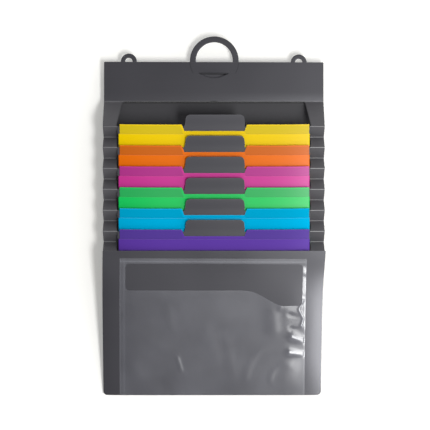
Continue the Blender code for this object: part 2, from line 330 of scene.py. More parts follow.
# painted shade: darker, duller copies of the pocket colours, for the back sheets
PAINTED_SHADE_COLOURS = {
    "yellow": (0.655, 0.495, 0.012),
    "orange": (0.56, 0.123, 0.008),
    "magenta": (0.40, 0.031, 0.23),
    "green": (0.019, 0.39, 0.093),
    "blue": (0.0, 0.322, 0.54),
    "purple": (0.080, 0.039, 0.268),
}
POCKET_GLOSS = {
    # specular level, and how far the gloss takes on the colour of the sheet
    "yellow": (0.06, 0.30),
    "orange": (0.14, 0.55),
    "magenta": (0.18, 0.45),
    "green": (0.16, 0.20),
    "blue": (0.14, 1.00),
    "purple": (0.10, 0.75),
}
DRIFT_RANGE = 0.06
GRAIN_DEPTH = 0.00004
GLOSS_DRIFT = 0.05
POCKET_ROUGHNESS = 0.36


def scaled(colour, factor):
    """The colour times a factor, as the four numbers of a colour socket."""
    return tuple(min(c * factor, 1.0) for c in colour) + (1.0,)


def toward(colour, other, share):
    """The colour moved by a share of the way to another."""
    return tuple(c + (o - c) * share for c, o in zip(colour, other))


def mix_colours(tree, factor, first, second):
    """A colour between two others."""
    mixed = add(tree, "ShaderNodeMix", {0: factor, 6: first, 7: second}, data_type="RGBA")
    return mixed.outputs[2]


def new_finish(name):
    """A new material with its node tree, its shader, and the place on the object."""
    material = bpy.data.materials.new(name)
    material.use_nodes = True
    tree = material.node_tree
    place = add(tree, "ShaderNodeTexCoord").outputs["Object"]
    return material, tree, tree.nodes["Principled BSDF"], place


def carried(tree, name):
    """The value of a number that the sheet carries at its points."""
    return add(tree, "ShaderNodeAttribute", attribute_name=name).outputs["Fac"]


def sheet_finish(name, colour, roughness, pale, specular, painted_shade_colour, tint=(1.0, 1.0, 1.0)):
    """Polypropylene of one colour: drift, then the painted shade, then the pale lines."""
    material, tree, shader, place = new_finish(name)
    grain = add(tree, "ShaderNodeGroup", node_tree=sheet_grain)
    tree.links.new(place, grain.inputs["Vector"])
    colours = mix_colours(tree, grain.outputs["Drift"], scaled(colour, 1 - DRIFT_RANGE),
                          scaled(colour, 1 + DRIFT_RANGE))
    # painted shade: where the sheet's shade mask is high, the colour goes to its darker copy
    colours = mix_colours(tree, carried(tree, "painted_shade_mask"), colours, (*painted_shade_colour, 1.0))
    line = add(tree, "ShaderNodeGroup", node_tree=pale_line)
    tree.links.new(place, line.inputs["Vector"])
    tree.links.new(carried(tree, "pale"), line.inputs["Mask"])
    colours = mix_colours(tree, line.outputs["Amount"], colours, (*pale, 1.0))
    tree.links.new(colours, shader.inputs["Base Color"])
    rough = ranged(tree, grain.outputs["Gloss"], NOISE_REACH,
                   (roughness - GLOSS_DRIFT, roughness + GLOSS_DRIFT))
    tree.links.new(rough, shader.inputs["Roughness"])
    bump = add(tree, "ShaderNodeBump", {"Strength": 0.35, "Distance": GRAIN_DEPTH,
                                        "Height": grain.outputs["Height"]})
    tree.links.new(bump.outputs[0], shader.inputs["Normal"])
    shader.inputs["Specular IOR Level"].default_value = specular
    shader.inputs["Specular Tint"].default_value = (*tint, 1.0)
    return material


COOL_GLOSS = (0.94, 0.945, 1.0)
PALE_GREY = (0.17, 0.17, 0.18)
# painted light: the gussets' pale fold colour is lighter than that of the other grey sheets
PALE_GUSSET = (0.24, 0.24, 0.25)
# painted shade: the near-black of the dark lines that stand for shadow on the grey sheets
PAINTED_SHADE_GREY = (0.010, 0.010, 0.011)
finishes = {
    "grey": sheet_finish("grey_sheet", GREY, 0.33, PALE_GREY, 0.31, PAINTED_SHADE_GREY, COOL_GLOSS),
    "cover": sheet_finish("cover_grey_sheet", GREY, 0.30, PALE_GREY, 0.29, PAINTED_SHADE_GREY, COOL_GLOSS),
    "divider": sheet_finish("divider_grey_sheet", DIVIDER_GREY, 0.40, PALE_GREY, 0.17, PAINTED_SHADE_GREY),
    "inner": sheet_finish("inner_grey_sheet", INNER_GREY, 0.45, PALE_GREY, 0.16, PAINTED_SHADE_GREY),
    "gusset": sheet_finish("gusset_grey_sheet", GUSSET_PAINTED_LIGHT_GREY, 0.48, PALE_GUSSET, 0.58, PAINTED_SHADE_GREY),
}
for colour, shade in POCKET_COLOURS.items():
    paler = toward(shade, (1.0, 1.0, 0.95), 0.25)
    gloss, tinted = POCKET_GLOSS[colour]
    tint = toward((1.0, 1.0, 1.0), [c / max(shade) for c in shade], tinted)
    finishes[colour] = sheet_finish(colour + "_sheet", shade, POCKET_ROUGHNESS, paler, gloss,
                                    PAINTED_SHADE_COLOURS[colour], tint)
print("sheet finishes:", sorted(finishes))

# %% [markdown]
# ## Clear film finish
#
# The pocket on the cover is soft clear vinyl.  It is hazy more than tinted, it shines where it
# bends, and it is whiter along its welds and sharp creases.  Real refraction would cost time and
# show nothing, because the film lies on the cover, so the finish is a thin see-through veil with
# a strong gloss: the veil is denser where the `pale` number of the film is high.  On the crests of
# two puckers and along the right border it is made denser too, so that the lamp's reflection shows
# stronger there: a painted highlight on top of the real reflection.

# %% Finish for the film
FILM_VEIL = 0.08
VEIL_DRIFT = 0.025
# painted highlight as well as welds: the densest veil, on welds, the crease, two pucker crests and the
# right border
FILM_WELD_AND_HIGHLIGHT = 0.34
FILM_SHINE = {"Base Color": (0.385, 0.395, 0.455, 1.0), "Roughness": 0.34, "Specular IOR Level": 0.6,
              "Coat Weight": 1.0, "Coat Roughness": 0.23, "Coat IOR": 1.8}


def make_haze():
    """Haze: slow clouds of about 60 mm, and a ripple of about 20 mm, both from 0 to 1."""
    tree, start, end = effect("film_haze", [("Vector", VECTOR)], [("Cloud", VALUE), ("Ripple", VALUE)])
    tree.links.new(noise(tree, start.outputs["Vector"], 16.0, 3.0, 0.55), end.inputs["Cloud"])
    tree.links.new(noise(tree, start.outputs["Vector"], 45.0, 2.0), end.inputs["Ripple"])
    return tree


def film_finish():
    """Vinyl veil: the alpha is a clouded base, raised along the welds and the sharp crease, and as a
    painted highlight on two pucker crests and the right border.
    """
    material, tree, shader, place = new_finish("clear_vinyl_film")
    haze = add(tree, "ShaderNodeGroup", node_tree=film_haze)
    tree.links.new(place, haze.inputs["Vector"])
    veil = ranged(tree, haze.outputs["Cloud"], NOISE_REACH,
                  (FILM_VEIL - VEIL_DRIFT, FILM_VEIL + VEIL_DRIFT))
    alpha = blend_values(tree, veil, FILM_WELD_AND_HIGHLIGHT, carried(tree, "pale"))
    tree.links.new(alpha, shader.inputs["Alpha"])
    bump = add(tree, "ShaderNodeBump", {"Strength": 0.4, "Distance": 0.0003,
                                        "Height": haze.outputs["Ripple"]})
    tree.links.new(bump.outputs[0], shader.inputs["Normal"])
    for socket, value in FILM_SHINE.items():
        shader.inputs[socket].default_value = value
    return material


film_haze = make_haze()
finishes["film"] = film_finish()
print("film veil:", FILM_VEIL, "on welds:", FILM_WELD_AND_HIGHLIGHT)

# %% [markdown]
# ## From a formula to a sheet
#
# Each sheet starts as one or more grids of points on its middle surface, in millimetres.  A few
# short curves come back in most of them: an even spacing, a soft step, a line that fades, a bell.

# %% Helpers for grids
MM = 0.001
EDGE = 0.5


def along(stops, counts):
    """Positions from stop to stop, with that many equal steps in each stretch."""
    parts = [np.linspace(a, b, n, endpoint=False) for a, b, n in zip(stops, stops[1:], counts)]
    return np.concatenate(parts + [np.array(stops[-1:], float)])


def both_sides(half):
    """Positions from 0 outwards, mirrored to the other side of 0."""
    return np.concatenate([-half[:0:-1], half])


def ease(t):
    """0 below t = 0, 1 above t = 1, and 3 t^2 - 2 t^3 between."""
    t = np.clip(t, 0.0, 1.0)
    return t * t * (3 - 2 * t)


def near(distance, reach):
    """1 at a line, falling evenly to 0 at a reach from it."""
    return np.clip(1 - distance / reach, 0.0, 1.0)


def bell(distance, width):
    """1 at a line, falling off with the square of the distance in an exponential."""
    return np.exp(-(distance / width) ** 2)


def surface(x, y, z, pale=0.0, painted_shade_mask=0.0):
    """A grid of points: place in millimetres, then how pale the sheet is and how much shade is painted
    on it there.
    """
    return np.stack(np.broadcast_arrays(x, y, z, pale, painted_shade_mask), axis=-1).astype(float)

# %% [markdown]
# Grids that share an edge are welded: points that agree to a thousandth of a millimetre become one.
# Solidify then gives the sheet its thickness on both sides, and a fine bevel takes the sharpness
# off the cut edges, so that they catch the light as real ones do.

# %% From grids to pieces
BEVEL_SHARE = 0.22


def cells(rows, columns, first):
    """Quads of a grid: each joins a point, its neighbour in the row, and the two in the next row."""
    corner = first + (np.arange(rows - 1)[:, None] * columns + np.arange(columns - 1)).ravel()
    return np.stack([corner, corner + 1, corner + columns + 1, corner + columns], axis=1)


def welded(grids):
    """Grids joined into one list of points and quads, with equal points merged."""
    points = np.concatenate([grid.reshape(-1, grid.shape[-1]) for grid in grids])
    firsts = np.cumsum([0] + [grid.shape[0] * grid.shape[1] for grid in grids[:-1]])
    quads = np.concatenate([cells(*grid.shape[:2], first) for grid, first in zip(grids, firsts)])
    keys = np.round(points[:, :3], 3) + 0.0
    _, kept, back = np.unique(keys, axis=0, return_index=True, return_inverse=True)
    return points[kept], back.ravel()[quads]


def new_piece(name, points, quads, finish, body, node):
    """A mesh of these points and quads that stands for a CAD node and rides on its body."""
    mesh = bpy.data.meshes.new(name)
    mesh.from_pydata((points[:, :3] * MM).tolist(), [], quads.tolist())
    # the second number that the sheet carries is the mask of its painted shade
    for label, channel in (("pale", 3), ("painted_shade_mask", 4)):
        numbers = mesh.attributes.new(label, "FLOAT", "POINT")
        numbers.data.foreach_set("value", points[:, channel].astype(np.float32))
    mesh.shade_smooth()
    mesh.materials.append(finishes[finish])
    piece = bpy.data.objects.new(name, mesh)
    bpy.context.scene.collection.objects.link(piece)
    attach(piece, body)
    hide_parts(node)
    return piece


def cut_sheet(node, grids, thickness, finish, body):
    """A sheet of a thickness in millimetres about the middle surface that the grids give."""
    points, quads = welded(grids)
    piece = new_piece(node + "_sheet", points, quads, finish, body, node)
    thick = piece.modifiers.new("thickness", "SOLIDIFY")
    thick.thickness = thickness * MM
    thick.offset = 0.0
    thick.use_even_offset = True
    thick.use_quality_normals = True
    eased = piece.modifiers.new("eased edges", "BEVEL")
    eased.limit_method = "ANGLE"
    eased.angle_limit = math.radians(50)
    eased.width = BEVEL_SHARE * thickness * MM
    eased.segments = 2
    eased.harden_normals = True
    print(piece.name, len(points), "points,", len(quads), "quads")
    return piece

# %% [markdown]
# ## Header boards
#
# The header is two stiff boards with the hangers between them.  The back board is a plain
# rectangle with round upper corners.  Scaling each row of a grid to the width that the outline
# has at its height gives such a shape without any cutting.  Along the fold a dark line of painted
# shade is set in the colour, for the shadow in the gap under the front board's lower edge.

# %% Back board of the header
HALF_WIDTH = 181.0
HEADER_TOP = 33.0
CREASE = -33.0
HEADER_CORNER = 1.5
BOARD = 0.8
SLIT_HALF = 25.25
CUT_PALE = 0.5

board_columns = both_sides(along([0, SLIT_HALF, 48, 130, HALF_WIDTH - EDGE, HALF_WIDTH],
                                 [26, 38, 34, 20, 1]))


def header_half(z):
    """Half-width at a height: full, but along the circle of the corner at the top."""
    into = np.clip((z - (HEADER_TOP - HEADER_CORNER)) / HEADER_CORNER, 0, 1)
    return HALF_WIDTH - HEADER_CORNER * (1 - np.sqrt(1 - into ** 2))


def askew(x, z):
    """Height of a header point: the top edge sits a little lower, and lower still to the right."""
    return z - (0.5 + 0.5 * x / HALF_WIDTH) * (z - CREASE) / (HEADER_TOP - CREASE)


def corner_rows(start, top, radius, steps):
    """Heights from start up to a round corner and over it, closer together towards the top."""
    angles = np.linspace(0, math.pi / 2, steps + 1)
    return np.concatenate([[start], top - radius + radius * np.sin(angles)])


rows = np.concatenate([along([CREASE, CREASE + EDGE, CREASE + 4, 25], [1, 4, 16]),
                       corner_rows(29, HEADER_TOP, HEADER_CORNER, 5)])[:, None]
x = board_columns * header_half(rows) / HALF_WIDTH
pale = near(np.minimum(HEADER_TOP - rows, header_half(rows) - np.abs(x)), EDGE) * CUT_PALE
# painted shade: a dark line along the fold, for the shadow in the gap under the front board
painted_shade_line = ease((CREASE + 4 - rows) / 2)
back_board = surface(x, -BOARD / 2, askew(x, rows), pale, painted_shade_line)
cut_sheet("header_back", [back_board], BOARD, "grey", "header")

# %% [markdown]
# The front board has more to say.  A straight slit is cut below its middle, and the board under
# the slit is pressed into the hole of the ring, so a shallow dish with a round lower edge shows.
# The edge over the slit stands out a little, and the lower edge turns back into the fold.  It could
# be sculpted, but each of these is a small height over the board, so they are simply added up.  The
# grid splits at the slit: one block of rows above it, blocks below it that follow the round edge,
# and the dish.  Dark lines of painted shade are set in the colour along the slit, in the gap under
# it, and where the board creases over the ring's outer edge: they stand for the shadow there.  Dark
# lines are set in the colour along the slit, in the gap under it, and where the board creases over
# the ring's outer edge; how much of them is shadow is a guess.

# %% Front board of the header
FRONT_BOARD_MIDDLE = 2.8
SLIT_HEIGHT = 14.4
SLIT_GAP = 1.1
SLIT_GAPE = 0.6
SLIT_LIP = 0.4
DISH_SAG = 8.6
DISH_DEPTH = 1.5
RING_CENTRE = (0.9, 34.6)
RING_HOLE = 30.4
RING_OUTER = 40.3
NOTCH_HALF = 7.5
NOTCH_RISE = 1.3
FRONT_FOOT = CREASE + 0.6
FOOT_DROP = 0.55
FOOT_TURN = 0.55
TURN_FROM = CREASE + 16
WARP = 0.25
# painted shade: how dark the line is where the board creases over the ring
RING_PAINTED_SHADE = 0.6


def dish_edge(x):
    """Lower edge of the dish: an arc below the slit, and level with the slit outside it."""
    radius = (SLIT_HALF ** 2 + DISH_SAG ** 2) / (2 * DISH_SAG)
    inside = np.minimum(np.abs(x), SLIT_HALF)
    return SLIT_HEIGHT - DISH_SAG + radius - np.sqrt(radius ** 2 - inside ** 2)


def over_heads(x):
    """1 where the gusset heads begin under the board, and 0 over the window between them."""
    return ease((np.abs(x) - 146) / 4)


def header_foot(x):
    """Lower edge of the front board: a thumb notch, straight, and down to the fold at the heads."""
    notch = NOTCH_RISE * np.clip(1 - (x / NOTCH_HALF) ** 2, 0, None)
    return FRONT_FOOT + notch - FOOT_DROP * over_heads(x)


def relief(x, z):
    """How far the board stands out: a slow warp, less the turn of the foot, a bent parabola."""
    turned = FOOT_TURN * np.clip((TURN_FROM - z) / (TURN_FROM - FRONT_FOOT), 0, None) ** 2
    warp = WARP * (1 + np.sin(x / 61 + 0.8)) * np.cos(z / 60)
    return warp - turned


def ring_crease(x, z):
    """Painted shade: 1 along the ring's outer edge, over the slit only, falling to 0 within a
    millimetre.
    """
    from_ring = np.hypot(x - RING_CENTRE[0], z - RING_CENTRE[1])
    return near(np.abs(from_ring - RING_OUTER), 1.2) * ease((z - SLIT_HEIGHT + 2) / 4)


def front_board(x, z, pale, extra=0.0, painted_shade_line=0.0):
    """A grid of the front board, scaled to the round corners, with its dark lines of painted shade."""
    x = x * header_half(z) / HALF_WIDTH
    dark = np.maximum(RING_PAINTED_SHADE * ring_crease(x, z), painted_shade_line)
    return surface(x, -FRONT_BOARD_MIDDLE - relief(x, z) - extra, askew(x, z), pale, dark)


columns = board_columns[None, :]
steps = along([0, 0.8, 4, 5], [2, 10, 2])[:, None]
foot = header_foot(columns)
foot_rows = foot + (CREASE + 5 - foot) * steps / 5
foot_pale = near(foot_rows - foot, 1.8) * (0.3 + 0.7 * over_heads(columns))
blocks = [front_board(columns, foot_rows, foot_pale)]
blocks.append(front_board(columns, along([CREASE + 5, CREASE + 9, 4], [4, 18])[:, None], 0.0))
rise = along([0, 0.9, 1], [8, 2])[:, None]
edge = dish_edge(columns)
blocks.append(front_board(columns, 4 + (edge - 4) * rise, 0.0))
above = np.concatenate([along([SLIT_HEIGHT, SLIT_HEIGHT + EDGE, 29], [1, 20]),
                        corner_rows(31, HEADER_TOP, HEADER_CORNER, 5)])[:, None]
lip = SLIT_LIP * np.clip(1 - (columns / SLIT_HALF) ** 2, 0, None) * np.exp((SLIT_HEIGHT - above) / 5)
# painted shade: a dark line along the slit's upper edge
slit_painted_shade = near(above - SLIT_HEIGHT, 0.9) * (np.abs(columns) < SLIT_HALF)
top_pale = near(HEADER_TOP - above, EDGE) * CUT_PALE
blocks.append(front_board(columns, above, top_pale, lip, slit_painted_shade))

slit_gap = SLIT_GAP + SLIT_GAPE * ease((board_columns - 4) / 18)
dish_top = SLIT_HEIGHT - slit_gap
dished = dish_top - dish_edge(board_columns) > 0.25
dish_x = board_columns[dished][None, :]
dish_low = dish_edge(dish_x)
dish_z = dish_low + (dish_top[dished] - dish_low) * np.linspace(0, 1, 11)[:, None]
depth_in = DISH_DEPTH * ease((RING_HOLE - np.hypot(dish_x, dish_z - RING_CENTRE[1])) / 3.2)
# painted shade: the dish darkens towards the slit, for the shadow in the gap under it
dish_painted_shade = ease(1.6 - (dish_top[dished] - dish_z) / slit_gap[dished])
pressed = -depth_in * ease((dish_z - dish_low) / 2.0)
blocks.append(front_board(dish_x, dish_z, 0.0, pressed, dish_painted_shade))
cut_sheet("header_front", blocks, BOARD, "grey", "header")

# %% [markdown]
# ## Ring and loops
#
# The hangers are flat moulded rings.  A ring is a closed profile carried round a circle.  The
# profile here is a superellipse, a rectangle with soft corners: the sixth powers of its two
# coordinates add up to one.

# %% Moulded hangers
HANGER_MIDDLE = 1.6
HANGER_HALF_THICK = 0.5
LOOP_CENTRES = {"left": (-140.0, 33.4), "right": (140.2, 31.8)}
LOOP_OUTER = 13.2
LOOP_BAND = 7.2


def soft_power(value, power):
    """The size of a value to a power, with its sign kept."""
    return np.sign(value) * np.abs(value) ** power


def moulded_ring(node, centre_x, centre_z, outer, band, around):
    """A superellipse, half a band wide each way, carried round a circle of the ring's middle radius."""
    turn = np.linspace(0, 2 * math.pi, around + 1)[:, None]
    section = np.linspace(0, 2 * math.pi, 41)[None, :]
    radius = outer - band / 2 + band / 2 * soft_power(np.cos(section), 1 / 3)
    y = -HANGER_MIDDLE - HANGER_HALF_THICK * soft_power(np.sin(section), 1 / 3)
    x = centre_x + radius * np.cos(turn)
    z = centre_z + radius * np.sin(turn)
    pale = 0.25 * near(band / 2 - np.abs(radius - outer + band / 2), 0.4)
    points, quads = welded([surface(x, y, z, pale)])
    piece = new_piece(node + "_moulding", points, quads, "grey", "header", node)
    print(piece.name, len(quads), "quads")
    return piece


moulded_ring("hanger_ring", *RING_CENTRE, RING_OUTER, RING_OUTER - RING_HOLE, 144)
for word, centre in LOOP_CENTRES.items():
    moulded_ring(word + "_hanger_loop", *centre, LOOP_OUTER, LOOP_BAND, 72)

# %% [markdown]
# ## Back panel
#
# A plain sheet hangs flat on the wall behind the pockets and closes the rear compartment.  It
# bellies forward by a few tenths of a millimetre, as a sheet that is only held at its edges does.
# Just under the header, along the scored fold, a dark line of painted shade is set in the colour.
# From 8 mm under the fold it is painted paler, fully so from 40 mm down: painted light that lifts
# the shade that the pockets cast on it.

# %% Back panel
FOLD_DEPTH = 3.7
BACK_HEIGHT = 268.0
BACK_GAP = 0.3
BACK_BELLY = 0.6
# painted light: how much paler the panel is painted below its top
BACK_PAINTED_LIGHT = 0.17

columns = both_sides(along([0, HALF_WIDTH - EDGE, HALF_WIDTH], [40, 1]))[None, :]
rows = (CREASE - along([BACK_GAP, BACK_GAP + EDGE, 4, BACK_HEIGHT - EDGE, BACK_HEIGHT],
                       [1, 6, 40, 1]))[:, None]
belly = BACK_BELLY * np.cos(columns / HALF_WIDTH * math.pi / 2)
belly = belly * np.sin((CREASE - rows) / BACK_HEIGHT * math.pi)
pale = near(np.minimum(HALF_WIDTH - np.abs(columns), rows - CREASE + BACK_HEIGHT), EDGE) * CUT_PALE
# painted light: paler from 8 mm under the fold, fully so from 40 mm down
pale = np.maximum(pale, BACK_PAINTED_LIGHT * ease((CREASE - 8 - rows) / 32))
# painted shade: a dark line along the fold
painted_shade_line = ease((rows - CREASE + 3.0) / 1.4)
cut_sheet("back_panel", [surface(columns, -BOARD / 2 - belly, rows, pale, painted_shade_line)], BOARD, "inner",
          "file_back")

# %% [markdown]
# ## Gusset heads
#
# On each side a panel slopes from the fold line out to the first peak of the gusset.  Between the
# two the dark rear compartment shows.  The panel's inner edge starts with a round corner at the
# top and then runs straight out to the pleats.  Its grid has the slope as one parameter and the
# share of the way from the inner edge to the outer edge as the other.  Towards the pleats the panel
# turns a little to its own side, so the left one looks darker than the right one.  Along the inner
# edge a dark line of painted shade is set in the colour, for the shadow in the gap behind it.  It
# is a guess: on the real one it may only be shadow.

# %% Gusset heads
STRIP_INNER = 157.0
PEAK_DEPTH = 51.4009
FIRST_PEAK = -75.4
GUSSET_SHEET = 0.5
HEAD_TOP = 0.25
HEAD_CORNER = 5.0
HEAD_TOP_INNER = 150.5
PEAK_OVERLAP = 1.6
HEAD_FLARE = 1.6
HEAD_BELLY = 0.5
HEAD_PAINTED_SHADE = 0.8
TURN_OUT = 0.08

head_length = math.hypot(PEAK_DEPTH - FOLD_DEPTH, FIRST_PEAK - CREASE)
head_out = (PEAK_DEPTH - FOLD_DEPTH) / head_length
head_down = (CREASE - FIRST_PEAK) / head_length


def head_inner(slope):
    """Inner edge of a head: a quarter circle into the fold line, then a straight run to the pleats."""
    into = np.clip(slope - HEAD_TOP, 0, HEAD_CORNER)
    circle = HEAD_TOP_INNER - HEAD_CORNER + np.sqrt(HEAD_CORNER ** 2 - (HEAD_CORNER - into) ** 2)
    run = np.clip((slope - HEAD_TOP - HEAD_CORNER) / (head_length - HEAD_TOP - HEAD_CORNER), 0, 1)
    return circle + (STRIP_INNER + HEAD_FLARE - HEAD_TOP_INNER) * run


corner_turn = np.linspace(0, math.pi / 2, 9)
head_rows = np.concatenate([HEAD_TOP + HEAD_CORNER * (1 - np.cos(corner_turn)),
                            along([8, head_length - PEAK_OVERLAP], [24])])[:, None]
head_share = along([0, 0.08, 0.98, 1], [4, 12, 1])[None, :]
head_x = head_inner(head_rows) + (HALF_WIDTH - head_inner(head_rows)) * head_share
head_belly = HEAD_BELLY * np.sin(head_rows / head_length * math.pi)
turn_share = TURN_OUT * ease(head_rows / (head_length - PEAK_OVERLAP))
head_turn = turn_share * np.clip(head_x - STRIP_INNER, 0, None)
head_y = -FOLD_DEPTH - head_rows * head_out - head_belly * head_down + head_turn
head_z = CREASE - head_rows * head_down + head_belly * head_out
head_pale = np.maximum(0.9 * near(head_rows - HEAD_TOP, 1.6), 0.4 * near(1 - head_share, 0.02))
# painted shade: a dark line along the inner edge
head_painted_shade = HEAD_PAINTED_SHADE * near(head_x - head_inner(head_rows), 1.8)
for side, word in ((-1, "left"), (1, "right")):
    head = surface(side * head_x, head_y, head_z, head_pale, head_painted_shade)
    cut_sheet(word + "_gusset_head", [head], GUSSET_SHEET, "gusset", "file_back")

# %% [markdown]
# ## How the pockets hang
#
# Every pocket hangs from a gusset peak and leans by the same angle, 7.15 mm ahead of the pocket
# above it.  So a point of a pocket is given by how far it is across, up along the sheet, and
# ahead of it, and one function turns that into a place for any pocket of the cascade.  Sheets
# that are held at their sides bow forward between them.  The bow falls off with the sixth power
# of the distance from the middle: almost level, then turning away fast at the ends, where it
# catches the light.

# %% Pocket frame and bow
POCKETS = len(POCKET_COLOURS)
PITCH = 34.2
PLANE_STEP = 7.15
LEAN = math.asin(PLANE_STEP / PITCH)
POCKET_BOW = 3.3
COVER_BOW = 3.6
POCKET_SLIP = 1.2
TAB_SLIP = 1.0


def hung(across, up, ahead, order):
    """Across is x, with a slip for pockets; up runs along the leaning sheet; ahead is square to it."""
    y = -PEAK_DEPTH - up * math.sin(LEAN) - ahead * math.cos(LEAN)
    z = FIRST_PEAK - order * PITCH + up * math.cos(LEAN) - ahead * math.sin(LEAN)
    return across + (POCKET_SLIP if order < POCKETS else 0.0), y, z


def pocket_bow(x):
    """Forward bow of dividers and pockets: the full bow less the sixth power of the way to the strip."""
    return POCKET_BOW * (1 - (np.abs(x) / STRIP_INNER) ** 6)


def cover_bow(x, up=0.0):
    """Forward bow of the cover: level, with margins that turn away by the eighth power of the way out.

    They turn away less at the top, where the gussets hold the cover, and somewhat less at the foot.
    """
    turned = (0.05 + 0.95 * ease((-8 - up) / 70)) * (0.55 + 0.45 * ease((up + 238) / 75))
    return COVER_BOW * (1 - turned * (np.abs(x) / HALF_WIDTH) ** 8)


print("pockets lean", round(math.degrees(LEAN), 2), "degrees")

# %% [markdown]
# ## Pleated gussets
#
# The side strips are folded like a bellows, so that the pockets can be lifted together.  The fold
# path is a zigzag of straight runs; taking at each place the mean of the zigzag over a short
# window rounds every fold.  Where it is folded the plastic is stressed and pale.  The last run
# ends in a flange that is welded behind the cover and follows its bow.  When the cover is lifted,
# the pleats close up towards the first peak.

# %% Pleats
VALLEY_DEPTH = 18.0
FLANGE = 12.0
FOLD_WINDOW = 0.9
PLEAT_SWELL = 0.35
VALLEY_PINCH = 0.7
RISING_GAP = 1.6
FOLD_PALE_WIDTH = 0.8

peaks = np.stack([np.full(POCKETS, -PEAK_DEPTH), FIRST_PEAK - PITCH * np.arange(POCKETS)], axis=1)
valleys = peaks + [VALLEY_DEPTH, -PITCH / 2]
zigzag = np.stack([peaks, valleys], axis=1).reshape(-1, 2)
start = peaks[0] + PEAK_OVERLAP * np.array([head_out, head_down])
behind = 0.3 + GUSSET_SHEET / 2
flange_ends = [hung(0, -down, -behind, POCKETS)[1:] for down in (behind, behind + FLANGE)]
zigzag = np.concatenate([[start], zigzag, flange_ends])
run_lengths = np.hypot(*np.diff(zigzag, axis=0).T)
fold_places = np.concatenate([[0], np.cumsum(run_lengths)])

around_fold = np.array([-2.4, -1.6, -1.1, -0.75, -0.45, -0.15, 0.15, 0.45, 0.75, 1.1, 1.6, 2.4])
at_folds = (fold_places[1:-1, None] + around_fold).ravel()
in_runs = (fold_places[1:-2, None] + run_lengths[1:-1, None] * np.linspace(0.2, 0.8, 7)).ravel()
in_flange = fold_places[-2] + np.array([4.5, 7.0, 9.5, 12.0])
path = np.unique(np.concatenate([[0.0], at_folds[at_folds > 0.2], in_runs, in_flange]))

window = np.linspace(-FOLD_WINDOW, FOLD_WINDOW, 9)
samples = np.clip(path[:, None] + window, 0, fold_places[-1])
path_y = np.interp(samples, fold_places, zigzag[:, 0]).mean(axis=1)
path_z = np.interp(samples, fold_places, zigzag[:, 1]).mean(axis=1)
to_fold = np.abs(path[:, None] - fold_places[1:-1]).min(axis=1)
past_last_fold = path - fold_places[-3]
bowed = ease(past_last_fold / run_lengths[-2])
swell = PLEAT_SWELL * ease((to_fold - 1.5) / 8.0)

strip = along([STRIP_INNER, STRIP_INNER + EDGE, HALF_WIDTH - EDGE, HALF_WIDTH], [1, 12, 1])
valley = np.clip((path_y + PEAK_DEPTH) / VALLEY_DEPTH, 0, 1)
first_fold = path < fold_places[1] + 4
fold_pale = np.where(first_fold, 0.25, 0.6 + 0.35 * valley) * bell(to_fold, FOLD_PALE_WIDTH)
edge_pale = 0.3 * near(HALF_WIDTH - strip, EDGE)
pleat_pale = np.maximum(fold_pale[:, None], edge_pale[None, :])
follow = bowed[:, None] * (cover_bow(strip)[None, :] - 1.2)
turn = TURN_OUT * (1 - bowed)[:, None] * (strip - STRIP_INNER)
pleat_y = path_y[:, None] - swell[:, None] - follow * math.cos(LEAN) + turn
pleat_z = path_z[:, None] - follow * math.sin(LEAN)

run = np.searchsorted(fold_places, path, side="right").clip(1, run_lengths.size) - 1
run_share = (path - fold_places[run]) / run_lengths[run]
rising = (run >= 2) & (run % 2 == 0)
inner = STRIP_INNER + RISING_GAP * np.where(rising, np.sin(run_share * math.pi), 0.0)[:, None]
outer = HALF_WIDTH - VALLEY_PINCH * valley[:, None]
across_strip = ((strip - STRIP_INNER) / (HALF_WIDTH - STRIP_INNER))[None, :]
pinched = inner + (outer - inner) * across_strip
for side, word in ((-1, "left"), (1, "right")):
    grid = surface(side * pinched, pleat_y, pleat_z, pleat_pale)
    pleats = cut_sheet(word + "_gusset_pleats", [grid], GUSSET_SHEET, "gusset", "file_back")
    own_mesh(pleats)

# %% [markdown]
# ## Dividers with their tabs
#
# Behind each pocket stands a grey divider.  Its tab rises over the pocket in the middle and its
# two ears reach the gusset peaks.  It is made of a few welded grids: the body, the two ears, and
# the tab, whose rows get shorter along its tapered sides and then along the circles of its
# corners.  The body may slip sideways a little; the ears stay where the gussets hold them.

# %% Dividers
POCKET_SHEET = 0.45
POCKET_HALF = 154.3
POCKET_FOOT = -222.4
EAR_HALF = 156.7
EAR_HEIGHT = 12.0
TAB_HALF = 49.0
TAB_TOP = 20.0
TAB_TAPER = 2.2
TAB_CORNER = 6.0
TAB_LEAN = 1.4

tab_columns = both_sides(along([0, 42, TAB_HALF - EDGE, TAB_HALF], [21, 8, 1]))
outer_columns = along([TAB_HALF, 150, POCKET_HALF - EDGE, POCKET_HALF], [44, 3, 1])[1:]
body_columns = np.concatenate([-outer_columns[::-1], tab_columns, outer_columns])
body_rows = along([POCKET_FOOT, POCKET_FOOT + EDGE, -40, -EAR_HEIGHT, -EDGE, 0], [1, 12, 8, 10, 1])
tab_turn = np.linspace(0, math.pi / 2, 10)
tab_rows = np.concatenate([along([0, TAB_TOP - TAB_CORNER], [14])[:-1],
                           TAB_TOP - TAB_CORNER + TAB_CORNER * np.sin(tab_turn)])
tab_cut = TAB_CORNER * (1 - np.sqrt(1 - np.clip((tab_rows - TAB_TOP) / TAB_CORNER + 1, 0, 1) ** 2))
tab_half = TAB_HALF - TAB_TAPER * tab_rows / TAB_TOP - tab_cut


